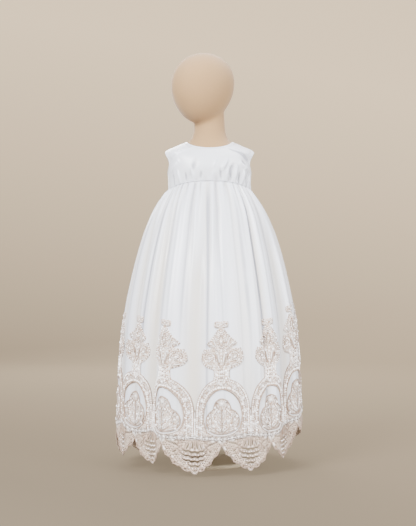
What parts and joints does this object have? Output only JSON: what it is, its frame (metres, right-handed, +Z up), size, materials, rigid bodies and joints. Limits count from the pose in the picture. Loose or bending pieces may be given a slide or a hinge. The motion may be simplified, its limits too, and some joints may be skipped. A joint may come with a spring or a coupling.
{
  "type": "christening gown on a limbless dress form",
  "caption": "Baby's sleeveless satin christening gown with an empire waist, a full gathered skirt and a scalloped lace hem, on a small headed dress form.",
  "frame": {"origin": "middle of the stand's underside, on the floor", "axes": "+Z up, the gown's front faces -Y, the wearer's left side is +X"},
  "size_m": [0.4089, 0.367, 0.8992],
  "materials": {
    "satin": "white satin with a soft sheen",
    "lace": "ivory and rose corded lace with small beads",
    "jersey": "matte cream jersey stretched over a firm core",
    "lacquer": "matte beige lacquer"
  },
  "bodies": {
    "root": {"bodice_front": "satin", "bodice_back_left": "satin", "bodice_back_right": "satin", "skirt_front": "satin", "skirt_back": "satin", "lace_border_front": "lace", "lace_border_back": "lace", "lace_motif_01": "lace", "lace_motif_02": "lace", "lace_motif_03": "lace", "lace_motif_04": "lace", "lace_motif_05": "lace", "lace_motif_06": "lace", "lace_motif_07": "lace", "lace_motif_08": "lace", "lace_motif_09": "lace", "lace_motif_10": "lace", "lace_motif_11": "lace", "lace_motif_12": "lace", "dress_form": "jersey", "form_pole": "lacquer", "form_base": "lacquer"}
  },
  "joints": []
}
